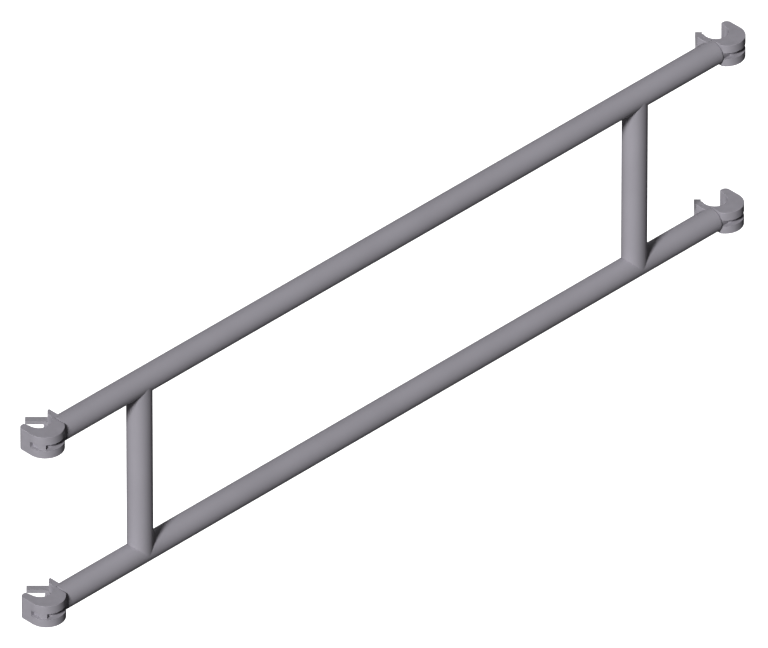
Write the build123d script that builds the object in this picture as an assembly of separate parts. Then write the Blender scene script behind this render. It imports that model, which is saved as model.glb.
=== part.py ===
from build123d import *
import os
from math import sqrt

# Scaffold guardrail: two long rails, two short posts between them, and a claw with a latch at each of
# the four rail ends. Millimetres, +Z up. The origin is on the left upright's axis, level with the lower
# rail. +X runs along the rails to the right upright, and +Y is the side that the claws open to.

# Frame
BAY = 1800.0                  # between the axes of the two uprights
RAIL_SPACING = 388.0          # between the axes of the two rails
POST_INSET = 240.5            # from an upright's axis to the nearer post's axis
RAIL_OFFSET = 22.0            # the rails' plane lies this far in front of the uprights' axes
TUBE_DIAMETER = 50.0          # rails and posts
TUBE_WALL = 2.0
UPRIGHT_DIAMETER = 48.3       # the scaffold tube that a claw closes round
RAIL_END_GAP = 3.0            # from the casting's shoulder to the rail's end

# Claw casting, from the upright's axis with x outward along the rail and y to the open side
SEAT_CLEARANCE = 0.5          # radial
SHOULDER = 0.6                # from the seat's edge to the casting's shoulder
CLAW_HEIGHT = 48.2
OUTER_ARM = 18.3              # thickness of the arm outside the upright
NOSE_RADIUS = 37.0            # round end, centred on the rail's axis
ARM_END = 12.9                # from the upright's axis to the arms' ends, on the open side
MOUTH_FLARE = 3.0             # the outer arm's inner face leans out by this much at its end
RAIL_ARM = 14.1               # thickness of the arm on the rail's side
ARM_FACE = 15.3               # from the upright's axis back to the second flange's sloping end face
OUTER_CORNER = 10.6           # outer arm, outside
MOUTH_CORNER = 1.2            # outer arm, inside
SQUARE_TIP_CORNER = 2.6       # leads the upright past the square-ended flange
SLOPING_TIP_CORNER = 0.8
EDGE_RADIUS = 0.7
SPIGOT_LENGTH = 45.0          # the root that fills the rail's end
SPIGOT_CLEARANCE = 0.1        # radial, in the rail's bore
NOTCH_MARGIN = 1.0            # round the pin, for the slot in the rail's end
NOTCH_END = 0.5               # past the arm
HEEL_RELIEF = 5.0             # the latch's slot runs this far past the arm, for its heel

# Lightening grooves in the casting's outside
GROOVE_HEIGHT = 13.0
RECESS_DEPTH = 2.5            # all round the nose, over the rib too
GROOVE_DEPTH = 11.0
GROOVE_START = 48.0           # degrees from outward, towards the front
POCKET_START = 24.0
POCKET_REACH = 2.8            # past the rail's axis, to the open side
POCKET_DEPTH = 8.0

# Latch finger
SLOT_HEIGHT = 9.2             # between the arm's two flanges
LATCH_PLAY = 0.6              # above and below the latch
LATCH_GAP = 1.0               # from the seat to the finger
LATCH_THICKNESS = 13.5
LATCH_REACH = 26.8            # past the upright's axis, along the finger
LATCH_ROOT = 14.0             # where the straight finger starts, before the upright's axis
LATCH_ROOT_LENGTH = 6.0
LATCH_CORNER = 1.0
KNUCKLE_RADIUS = 5.8
KNUCKLE_ROOM = 0.5            # between the knuckle and the slot's floor
PIN_BACK = 22.6               # from the upright's axis to the pin, along the finger
PIN_SIDE = 23.3               # and across it, away from the upright

# Latch pin
PIN_DIAMETER = 6.0
PIN_FIT = 0.05                # radial, in the latch
PIN_SEAT = 0.01               # radial, in the flanges
PIN_RECESS = 0.5              # below the flange's face at each end
PIN_CHAMFER = 0.6

# Latch spring
WIRE_DIAMETER = 1.0
SPRING_TURNS = 3
COIL_PITCH = 0.92             # a little under the wire's diameter, so the coil is one solid
SPRING_CLEARANCE = 0.4        # from the pin to the coil
SPRING_PLAY = 0.3             # above and below the coil
LEG_CLEARANCE = 0.2           # radial, in the legs' holes
LEG_DEPTH = 3.0               # of the fixed leg in the slot's floor
MOVING_LEG = 11.0             # from the pin's axis
LEG_ROOM = 1.0                # past the moving leg's end

# Derived sizes
tube_radius = TUBE_DIAMETER / 2
bore_radius = tube_radius - TUBE_WALL
spigot_radius = bore_radius - SPIGOT_CLEARANCE
seat_radius = UPRIGHT_DIAMETER / 2 + SEAT_CLEARANCE
shoulder = seat_radius + SHOULDER
rail_end = shoulder + RAIL_END_GAP
outer_face = seat_radius + OUTER_ARM
rail_arm_face = seat_radius + RAIL_ARM
nose_centre = outer_face - NOSE_RADIUS
slot_end = rail_arm_face + HEEL_RELIEF
latch_height = SLOT_HEIGHT - 2 * LATCH_PLAY
finger_inner = seat_radius + LATCH_GAP
finger_outer = finger_inner + LATCH_THICKNESS
pin_radius = PIN_DIAMETER / 2
wire_radius = WIRE_DIAMETER / 2
coil_radius = pin_radius + SPRING_CLEARANCE + wire_radius
leg_line = coil_radius - wire_radius / 2
half_stack = COIL_PITCH * (SPRING_TURNS - 1) / 2
spring_room = 2 * half_stack + WIRE_DIAMETER + 2 * SPRING_PLAY
far = 4 * NOSE_RADIUS         # longer than the claw, for cutting shapes
HALF = 1 / sqrt(2)

# The claw's own frame is turned into each corner of the guardrail.
CORNERS = {
    "left_lower": Location((0, 0, 0), (0, 180, 0)),
    "left_upper": Location((0, 0, RAIL_SPACING), (0, 180, 0)),
    "right_lower": Location((BAY, 0, 0)),
    "right_upper": Location((BAY, 0, RAIL_SPACING)),
}


def along(d, n):
    """Plan point d along the latch finger and n across it, away from the upright."""
    return ((d - n) * HALF, (d + n) * HALF)


def slab(points, height):
    """Prism on a plan outline, centred on the rail's level."""
    return extrude(make_face(Polyline(*points, close=True)), height / 2, both=True)


def block(x0, x1, y0, y1, height):
    """Rectangular prism between plan limits, centred on the rail's level."""
    return Pos((x0 + x1) / 2, (y0 + y1) / 2) * Box(x1 - x0, y1 - y0, height)


def drum(x, y, radius, height):
    """Upright cylinder centred on the rail's level."""
    return Pos(x, y) * Cylinder(radius, height)


def bar_x(x0, x1, radius):
    """Round bar along the rail's axis in the claw's frame."""
    return Pos((x0 + x1) / 2, -RAIL_OFFSET) * Rot(0, 90, 0) * Cylinder(radius, x1 - x0)


pin_x, pin_y = along(-PIN_BACK, PIN_SIDE)
slot_floor = pin_y - KNUCKLE_RADIUS - KNUCKLE_ROOM
pin_depth = pin_y - pin_radius + RAIL_OFFSET
notch_height = 2 * (sqrt(tube_radius ** 2 - pin_depth ** 2) + NOTCH_MARGIN)


# Rails and posts
def rail_notch(margin):
    """Opening in the rail's end for the claw's arm, in the claw's frame."""
    return block(-rail_arm_face - NOTCH_END + margin, 0, -RAIL_OFFSET, far, notch_height - 2 * margin)


def heel_notch():
    """Narrower opening beyond it, for the latch's heel."""
    return block(-slot_end, 0, -RAIL_OFFSET, far, SLOT_HEIGHT)


def rail(level):
    """Long tube with an opening at each end where the claw's arm passes through its wall."""
    length = BAY - 2 * rail_end
    middle = Pos(BAY / 2, -RAIL_OFFSET, level) * Rot(0, 90, 0)
    tube = middle * Cylinder(tube_radius, length) - middle * Cylinder(bore_radius, length + 1)
    for corner in CORNERS.values():
        if abs(corner.position.Z - level) < 1:
            tube -= corner * rail_notch(0)
            tube -= corner * heel_notch()
    return tube


def post(x):
    """Short tube between the rails, with its ends cut to sit round them."""
    middle = Pos(x, -RAIL_OFFSET, RAIL_SPACING / 2)
    tube = middle * Cylinder(tube_radius, RAIL_SPACING) - middle * Cylinder(bore_radius, RAIL_SPACING + 1)
    for level in (0, RAIL_SPACING):
        tube -= Pos(x, -RAIL_OFFSET, level) * Rot(0, 90, 0) * Cylinder(tube_radius, 2 * TUBE_DIAMETER)
    return tube


# Claw casting
def claw_outline(arm_tip):
    """Plan outline with a round nose, two arms and a seat; arm_tip ends the arm on the rail's side."""
    nose = Pos(nose_centre, -RAIL_OFFSET) * Circle(NOSE_RADIUS)
    nose -= Pos(-shoulder - far / 2, -RAIL_OFFSET) * Rectangle(far, far)
    width = rail_arm_face + outer_face
    depth = RAIL_OFFSET + ARM_END
    arms = Pos((outer_face - rail_arm_face) / 2, (ARM_END - RAIL_OFFSET) / 2) * Rectangle(width, depth)
    mouth = make_face(Polyline((0, 0), (seat_radius, 0), (seat_radius + MOUTH_FLARE, ARM_END),
                               *arm_tip, close=True))
    return nose + arms - Circle(seat_radius) - mouth


def flange(arm_tip, tip_corner, side):
    """Half of the casting's height, above the rail's level or below it, with its edges rounded."""
    half = extrude(claw_outline(arm_tip), side * CLAW_HEIGHT / 2)
    mouth_end = seat_radius + MOUTH_FLARE + 1
    for x0, x1, radius in ((mouth_end, far, OUTER_CORNER), (0, mouth_end, MOUTH_CORNER), (-far, 0, tip_corner)):
        tips = [e for e in half.edges().filter_by(Axis.Z)
                if e.center().Y > ARM_END - 1 and x0 < e.center().X < x1]
        half = fillet(tips, radius)
    rim = half.faces().filter_by(Axis.Z).sort_by(Axis.Z)[-1 if side > 0 else 0].edges()
    return fillet(rim, EDGE_RADIUS)


def claw_body():
    """Casting with a square-ended flange and one whose end slopes behind the latch's finger."""
    square_tip = [(-sqrt(seat_radius ** 2 - ARM_END ** 2), ARM_END)]
    slope_n = ARM_END / HALF + ARM_FACE
    sloping_tip = [along(-ARM_FACE, slope_n), along(-ARM_FACE, sqrt(seat_radius ** 2 - ARM_FACE ** 2))]
    return flange(square_tip, SQUARE_TIP_CORNER, 1) + flange(sloping_tip, SLOPING_TIP_CORNER, -1)


def nose_ring(depth, start, end):
    """Groove into the nose by this depth, between two angles from outward towards the front."""
    centre = Pos(nose_centre, -RAIL_OFFSET)
    ring = centre * Cylinder(far, GROOVE_HEIGHT) - centre * Cylinder(NOSE_RADIUS - depth, GROOVE_HEIGHT + 1)
    ring -= centre * Rot(0, 0, -start) * block(-far, far, 0, far, far)
    return ring & (centre * Rot(0, 0, -end) * block(-far, far, 0, far, far))


def front_groove():
    """Groove between the flanges, round the nose from the rib to the rail's end."""
    groove = nose_ring(GROOVE_DEPTH, GROOVE_START, 180) + nose_ring(RECESS_DEPTH, POCKET_START, 180)
    groove &= block(-shoulder, far, -far, -RAIL_OFFSET, GROOVE_HEIGHT)
    return groove - bar_x(-far, nose_centre, spigot_radius)


def side_pocket():
    """Small pocket between the flanges in the outer face."""
    depth_plane = outer_face - POCKET_DEPTH
    pocket = block(depth_plane, far, -RAIL_OFFSET - far / 2, POCKET_REACH - RAIL_OFFSET, GROOVE_HEIGHT)
    wedge = Pos(nose_centre, -RAIL_OFFSET) * Rot(0, 0, -POCKET_START) * block(-far, far, -far, 0, far)
    return pocket - wedge


def rail_socket():
    """What the rail's wall takes out of the casting."""
    wall = bar_x(-far, -shoulder, tube_radius + SPIGOT_CLEARANCE) - bar_x(-far, -shoulder, spigot_radius)
    return wall - rail_notch(SPIGOT_CLEARANCE)


def claw():
    """Cast C-shaped claw, with a root in the rail's end and a slot for the latch."""
    body = claw_body() + bar_x(-rail_end - SPIGOT_LENGTH, -seat_radius + 1, spigot_radius)
    body -= drum(0, 0, seat_radius, CLAW_HEIGHT + 1)
    body -= rail_socket()
    body -= front_groove()
    body -= side_pocket()
    body -= block(-slot_end, -seat_radius / 2, slot_floor, far, SLOT_HEIGHT)
    body -= drum(pin_x, pin_y, pin_radius + PIN_SEAT, CLAW_HEIGHT + 1)
    body -= fixed_leg(wire_radius + LEG_CLEARANCE, LEG_DEPTH + LEG_CLEARANCE)
    return body


# Latch
def latch():
    """Finger that closes the claw's mouth, with a forked knuckle on the pin."""
    finger = [(-LATCH_ROOT, finger_inner), (LATCH_REACH, finger_inner),
              (LATCH_REACH, finger_outer), (-LATCH_ROOT, finger_outer)]
    bar = slab([along(*p) for p in finger], latch_height)
    ends = sorted(bar.edges().filter_by(Axis.Z), key=lambda e: e.center().X + e.center().Y)[-2:]
    bar = fillet(ends, LATCH_CORNER)
    root_end = -LATCH_ROOT + LATCH_ROOT_LENGTH
    root = [(-LATCH_ROOT, finger_inner), (root_end, finger_inner),
            (root_end, finger_outer), (-LATCH_ROOT, finger_outer)]
    heel_edges = Polyline(*[along(*p) for p in root], close=True).edges()
    heel_edges += (Pos(pin_x, pin_y) * Circle(KNUCKLE_RADIUS)).edges()
    heel = extrude(make_hull(heel_edges), latch_height / 2, both=True)
    shape = bar + heel
    shape -= drum(pin_x, pin_y, pin_radius + PIN_FIT, CLAW_HEIGHT)
    shape -= drum(pin_x, pin_y, KNUCKLE_RADIUS + KNUCKLE_ROOM, spring_room)
    return shape - moving_leg(wire_radius + LEG_CLEARANCE, MOVING_LEG + LEG_ROOM)


def pin():
    """Pivot pin, a little below the flanges' faces."""
    shaft = drum(pin_x, pin_y, pin_radius, CLAW_HEIGHT - 2 * PIN_RECESS)
    return chamfer(shaft.edges().filter_by(GeomType.CIRCLE), PIN_CHAMFER)


def fixed_leg(radius, depth):
    """Spring's leg from the coil's side down into the slot's floor, or the hole for it."""
    length = pin_y - slot_floor + depth
    return Pos(pin_x + leg_line, pin_y - length / 2, -half_stack) * Rot(90, 0, 0) * Cylinder(radius, length)


def moving_leg(radius, length):
    """Spring's leg from the coil's side along the finger, or the hole for it."""
    leg_x, leg_y = along(-PIN_BACK + length / 2, PIN_SIDE + leg_line)
    return Pos(leg_x, leg_y, half_stack) * Rot(0, 0, 45) * Rot(0, 90, 0) * Cylinder(radius, length)


def spring():
    """Torsion spring round the pin, closely wound, with a leg in the claw and a leg in the latch."""
    coil = fixed_leg(wire_radius, LEG_DEPTH) + moving_leg(wire_radius, MOVING_LEG)
    for turn in range(SPRING_TURNS):
        coil += Pos(pin_x, pin_y, turn * COIL_PITCH - half_stack) * Torus(coil_radius, wire_radius)
    return coil


# Output
os.makedirs("parts", exist_ok=True)
export_step(rail(0), "parts/rail_lower.step")
export_step(rail(RAIL_SPACING), "parts/rail_upper.step")
export_step(post(POST_INSET), "parts/post_left.step")
export_step(post(BAY - POST_INSET), "parts/post_right.step")
pieces = {"claw": claw(), "latch": latch(), "latch_pin": pin(), "latch_spring": spring()}
for place, corner in CORNERS.items():
    for name, piece in pieces.items():
        export_step(corner * piece, f"parts/{name}_{place}.step")
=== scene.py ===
import math
import bpy
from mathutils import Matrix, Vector

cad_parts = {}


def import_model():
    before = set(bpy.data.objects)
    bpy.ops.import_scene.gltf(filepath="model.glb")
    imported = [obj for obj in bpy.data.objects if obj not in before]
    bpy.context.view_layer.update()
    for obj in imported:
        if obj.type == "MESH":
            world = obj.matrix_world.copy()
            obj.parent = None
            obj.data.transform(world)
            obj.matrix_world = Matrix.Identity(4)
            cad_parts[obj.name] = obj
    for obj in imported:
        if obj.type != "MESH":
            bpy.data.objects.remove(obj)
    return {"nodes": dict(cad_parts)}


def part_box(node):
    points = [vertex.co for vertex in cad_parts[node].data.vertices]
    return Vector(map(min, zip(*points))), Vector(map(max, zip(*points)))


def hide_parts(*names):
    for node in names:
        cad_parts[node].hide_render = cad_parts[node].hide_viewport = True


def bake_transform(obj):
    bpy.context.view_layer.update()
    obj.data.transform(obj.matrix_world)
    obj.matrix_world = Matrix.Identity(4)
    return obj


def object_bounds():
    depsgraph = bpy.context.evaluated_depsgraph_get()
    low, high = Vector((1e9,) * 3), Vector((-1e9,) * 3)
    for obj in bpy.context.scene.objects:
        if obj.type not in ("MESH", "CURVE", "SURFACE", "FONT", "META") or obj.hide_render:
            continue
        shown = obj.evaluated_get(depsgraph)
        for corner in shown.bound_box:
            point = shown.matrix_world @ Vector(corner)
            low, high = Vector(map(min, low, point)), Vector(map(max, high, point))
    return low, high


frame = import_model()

CAD_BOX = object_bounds()

# Photograph
PHOTO_WIDTH = 768                     # pixels
PIXEL = 1.885e-3                      # metres at the object
OBJECT_PIXEL = (388.7, 323.4)         # where the middle of the guardrail lies
MIDDLE_PIXEL = (384.0, 324.0)
ISOMETRIC = Vector((-1, -1, 1)).normalized()

# Camera
LENS = 1440.0                         # millimetres, long enough to look parallel
SENSOR = 36.0
CLIP_START = 1.0                      # metres
CLIP_END = 4                          # times the camera's distance

# Studio
FLOOR_DROP = 0.95                     # a guardrail hangs about this far above its platform
FLOOR_SIZE = 400.0
FLOOR_ROUGHNESS = 0.9
KEY_FROM = Vector((-0.76, -0.30, 0.59))
KEY_POWER = 4.35
BACK_FROM = Vector((0.70, 0.70, 0.03))   # level, and opposite the camera
BACK_POWER = 1.3
SUN_ANGLE = math.radians(9)
WORLD_LIGHT = 0.08                    # on the object; the camera sees plain white
FLOOR_PALE = 0.86
FLOOR_GLOW = 0.8
FLOOR_BOUNCE = 0.05                   # keeps the undersides as dark as in the photograph
WHITE = (1.0, 1.0, 1.0, 1.0)

# Metals: linear grey, how far it varies, lowest and highest roughness, and metallic share
TUBE_GREY = (0.300, 0.288, 0.322)
TUBE_VARIES = 0.035
TUBE_ROUGHNESS = (0.46, 0.60)
CAST_GREY = (0.285, 0.273, 0.306)
CAST_VARIES = 0.05
CAST_ROUGHNESS = (0.52, 0.70)
STEEL_GREY = (0.300, 0.290, 0.318)
STEEL_VARIES = 0.06
STEEL_ROUGHNESS = (0.42, 0.56)
ALUMINIUM_METALLIC = 0.05
STEEL_METALLIC = 0.1

# Surface textures: noise scale per metre, and bump height in metres
LINES_ALONG = 4.0
LINES_ACROSS = 420.0
LINES_HEIGHT = 4e-5
CLOUDS_SCALE = 9.0
SKIN_SCALE = 70.0
SKIN_HEIGHT = 1.5e-4
BLASTED_SCALE = 900.0
BLASTED_HEIGHT = 6e-5
SPANGLE_SCALE = 220.0
PLATED_SCALE = 1200.0
PLATED_HEIGHT = 3e-5
NOISE_MIDDLE = (0.3, 0.7)             # the part of a noise that its colours and roughness use

# Latch springs
SPRING_WIRE = 1.0e-3                  # across, with a leg at the coil's first and last turn
CORNERS = ("left_lower", "left_upper", "right_lower", "right_upper")


# Node helpers
def new_material(name):
    """Empty node material with its output and a principled shader."""
    material = bpy.data.materials.new(name)
    material.use_nodes = True
    nodes = material.node_tree.nodes
    return material, nodes, material.node_tree.links, nodes["Principled BSDF"]


def noise(nodes, links, scale, detail, stretch=(1, 1, 1)):
    """Noise in the part's own frame, stretched by its scale along each axis."""
    place = nodes.new("ShaderNodeTexCoord")
    mapping = nodes.new("ShaderNodeMapping")
    mapping.inputs["Scale"].default_value = stretch
    links.new(place.outputs["Object"], mapping.inputs["Vector"])
    texture = nodes.new("ShaderNodeTexNoise")
    texture.inputs["Scale"].default_value = scale
    texture.inputs["Detail"].default_value = detail
    links.new(mapping.outputs["Vector"], texture.inputs["Vector"])
    return texture.outputs["Fac"]


def ramp(nodes, links, source, low, high):
    """Colour ramp between two colours over the middle of a noise."""
    shade = nodes.new("ShaderNodeValToRGB")
    for end, position, colour in zip(shade.color_ramp.elements, NOISE_MIDDLE, (low, high)):
        end.position = position
        end.color = colour
    links.new(source, shade.inputs["Fac"])
    return shade.outputs["Color"]


def shades(grey, spread):
    """Two colours a little below and above a grey."""
    return [tuple(c * f for c in grey) + (1.0,) for f in (1 - spread, 1 + spread)]


def band(nodes, links, source, low, high):
    """Number between two limits, from a noise."""
    spread = nodes.new("ShaderNodeMapRange")
    spread.inputs["From Min"].default_value, spread.inputs["From Max"].default_value = NOISE_MIDDLE
    spread.inputs["To Min"].default_value = low
    spread.inputs["To Max"].default_value = high
    links.new(source, spread.inputs["Value"])
    return spread.outputs["Result"]


def bump(nodes, links, shader, layers):
    """Chain of bumps, each a noise with its height in metres."""
    previous = None
    for source, height in layers:
        dent = nodes.new("ShaderNodeBump")
        dent.inputs["Strength"].default_value = 1.0
        dent.inputs["Distance"].default_value = height
        links.new(source, dent.inputs["Height"])
        if previous:
            links.new(previous, dent.inputs["Normal"])
        previous = dent.outputs["Normal"]
    links.new(previous, shader.inputs["Normal"])


def background_ray(nodes, links, others, seen):
    """Number for the camera's own rays, and another for the rest."""
    path = nodes.new("ShaderNodeLightPath")
    level = nodes.new("ShaderNodeMapRange")
    level.inputs["To Min"].default_value = others
    level.inputs["To Max"].default_value = seen
    links.new(path.outputs["Is Camera Ray"], level.inputs["Value"])
    return level.outputs["Result"]


# Materials
def drawn_tube(name, stretch):
    """Mill-finish drawn tube: fine lines along its length and faint clouds."""
    material, nodes, links, shader = new_material(name)
    lines = noise(nodes, links, 1.0, 3.0, stretch)
    clouds = noise(nodes, links, CLOUDS_SCALE, 4.0)
    links.new(ramp(nodes, links, clouds, *shades(TUBE_GREY, TUBE_VARIES)), shader.inputs["Base Color"])
    links.new(band(nodes, links, lines, *TUBE_ROUGHNESS), shader.inputs["Roughness"])
    shader.inputs["Metallic"].default_value = ALUMINIUM_METALLIC
    bump(nodes, links, shader, [(lines, LINES_HEIGHT)])
    return material


def casting():
    """Blasted casting: a fine grain all over and a slightly uneven skin."""
    material, nodes, links, shader = new_material("casting")
    grain = noise(nodes, links, BLASTED_SCALE, 3.0)
    skin = noise(nodes, links, SKIN_SCALE, 3.0)
    links.new(ramp(nodes, links, skin, *shades(CAST_GREY, CAST_VARIES)), shader.inputs["Base Color"])
    links.new(band(nodes, links, grain, *CAST_ROUGHNESS), shader.inputs["Roughness"])
    shader.inputs["Metallic"].default_value = ALUMINIUM_METALLIC
    bump(nodes, links, shader, [(skin, SKIN_HEIGHT), (grain, BLASTED_HEIGHT)])
    return material


def plated_steel():
    """Zinc-plated steel: small spangle in its colour and a light grain."""
    material, nodes, links, shader = new_material("plated_steel")
    spangle = noise(nodes, links, SPANGLE_SCALE, 2.0)
    grain = noise(nodes, links, PLATED_SCALE, 2.0)
    links.new(ramp(nodes, links, spangle, *shades(STEEL_GREY, STEEL_VARIES)), shader.inputs["Base Color"])
    links.new(band(nodes, links, spangle, *STEEL_ROUGHNESS), shader.inputs["Roughness"])
    shader.inputs["Metallic"].default_value = STEEL_METALLIC
    bump(nodes, links, shader, [(grain, PLATED_HEIGHT)])
    return material


def finish_nodes():
    """Give every CAD node the material of its kind."""
    along_x = drawn_tube("rail_tube", (LINES_ALONG, LINES_ACROSS, LINES_ACROSS))
    along_z = drawn_tube("post_tube", (LINES_ACROSS, LINES_ACROSS, LINES_ALONG))
    cast = casting()
    steel = plated_steel()
    kinds = {"rail": along_x, "post": along_z, "claw": cast, "latch": steel}
    for node, piece in frame["nodes"].items():
        kind = kinds[node.split("_")[0]]
        for holder in piece.material_slots:
            holder.material = kind


# Springs
def wind_springs():
    """Copies of the latch springs in place of the model's springs; they keep their closed shape and don't
    wind up with their latches.
    """
    for corner in CORNERS:
        node = f"latch_spring_{corner}"
        solid = frame["nodes"][node]
        spring = bpy.data.objects.new(f"wound_{node}", solid.data.copy())
        bpy.context.collection.objects.link(spring)
        spring.matrix_world = solid.matrix_world.copy()
        low, high = (Vector(limit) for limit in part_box(node))
        reach = Vector((0, 0, (high.z - low.z) / 2 - SPRING_WIRE))
        if corner.startswith("left"):         # the left claws are turned over
            reach = -reach
        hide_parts(node)
        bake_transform(spring)


# Studio
def floor():
    """Pale floor far below the guardrail, with the object's soft shadow."""
    low, _ = CAD_BOX
    bpy.ops.mesh.primitive_plane_add(size=FLOOR_SIZE, location=(0, 0, low[2] - FLOOR_DROP))
    plane = bpy.context.object
    plane.name = "floor"
    material, nodes, links, shader = new_material("floor")
    links.new(background_ray(nodes, links, FLOOR_BOUNCE, FLOOR_PALE), shader.inputs["Base Color"])
    shader.inputs["Roughness"].default_value = FLOOR_ROUGHNESS
    glow = nodes.new("ShaderNodeEmission")
    glow.inputs["Color"].default_value = WHITE
    links.new(background_ray(nodes, links, 0.0, FLOOR_GLOW), glow.inputs["Strength"])
    both = nodes.new("ShaderNodeAddShader")
    links.new(shader.outputs["BSDF"], both.inputs[0])
    links.new(glow.outputs["Emission"], both.inputs[1])
    links.new(both.outputs["Shader"], nodes["Material Output"].inputs["Surface"])
    plane.data.materials.append(material)


def world():
    """White surroundings with a low even light."""
    scene_world = bpy.data.worlds.new("studio")
    bpy.context.scene.world = scene_world
    scene_world.use_nodes = True
    nodes = scene_world.node_tree.nodes
    links = scene_world.node_tree.links
    sky = nodes["Background"]
    sky.inputs["Color"].default_value = WHITE
    links.new(background_ray(nodes, links, WORLD_LIGHT, 1.0), sky.inputs["Strength"])


def sun(name, place, power):
    """Distant light from a direction, a little soft at its edges."""
    data = bpy.data.lights.new(name, "SUN")
    data.energy = power
    data.angle = SUN_ANGLE
    holder = bpy.data.objects.new(name, data)
    bpy.context.collection.objects.link(holder)
    holder.rotation_euler = place.to_track_quat("Z", "Y").to_euler()
    return holder


def camera(middle):
    """Long-lens camera on the isometric line, framed as the photograph."""
    data = bpy.data.cameras.new("camera")
    data.lens = LENS
    data.sensor_width = SENSOR
    width = PHOTO_WIDTH * PIXEL
    distance = width * LENS / SENSOR
    data.clip_start = CLIP_START
    data.clip_end = distance * CLIP_END
    turn = ISOMETRIC.to_track_quat("Z", "Y")
    right = turn @ Vector((1, 0, 0))
    up = turn @ Vector((0, 1, 0))
    across, down = ((centre - place) * PIXEL for centre, place in zip(MIDDLE_PIXEL, OBJECT_PIXEL))
    holder = bpy.data.objects.new("camera", data)
    bpy.context.collection.objects.link(holder)
    holder.rotation_euler = turn.to_euler()
    holder.location = middle + right * across - up * down + ISOMETRIC * distance
    bpy.context.scene.camera = holder


def guardrail_middle():
    """Middle of the rails and posts, from the rails' boxes."""
    lower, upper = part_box("rail_lower"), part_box("rail_upper")
    return (Vector(lower[0]) + Vector(upper[1])) / 2


def main():
    bpy.context.scene.view_settings.view_transform = "Standard"
    middle = guardrail_middle()
    finish_nodes()
    wind_springs()
    floor()
    world()
    sun("key", KEY_FROM, KEY_POWER)
    back = sun("back", BACK_FROM, BACK_POWER)
    back.visible_glossy = False           # no glare along the rails' upper edges
    camera(middle)


main()
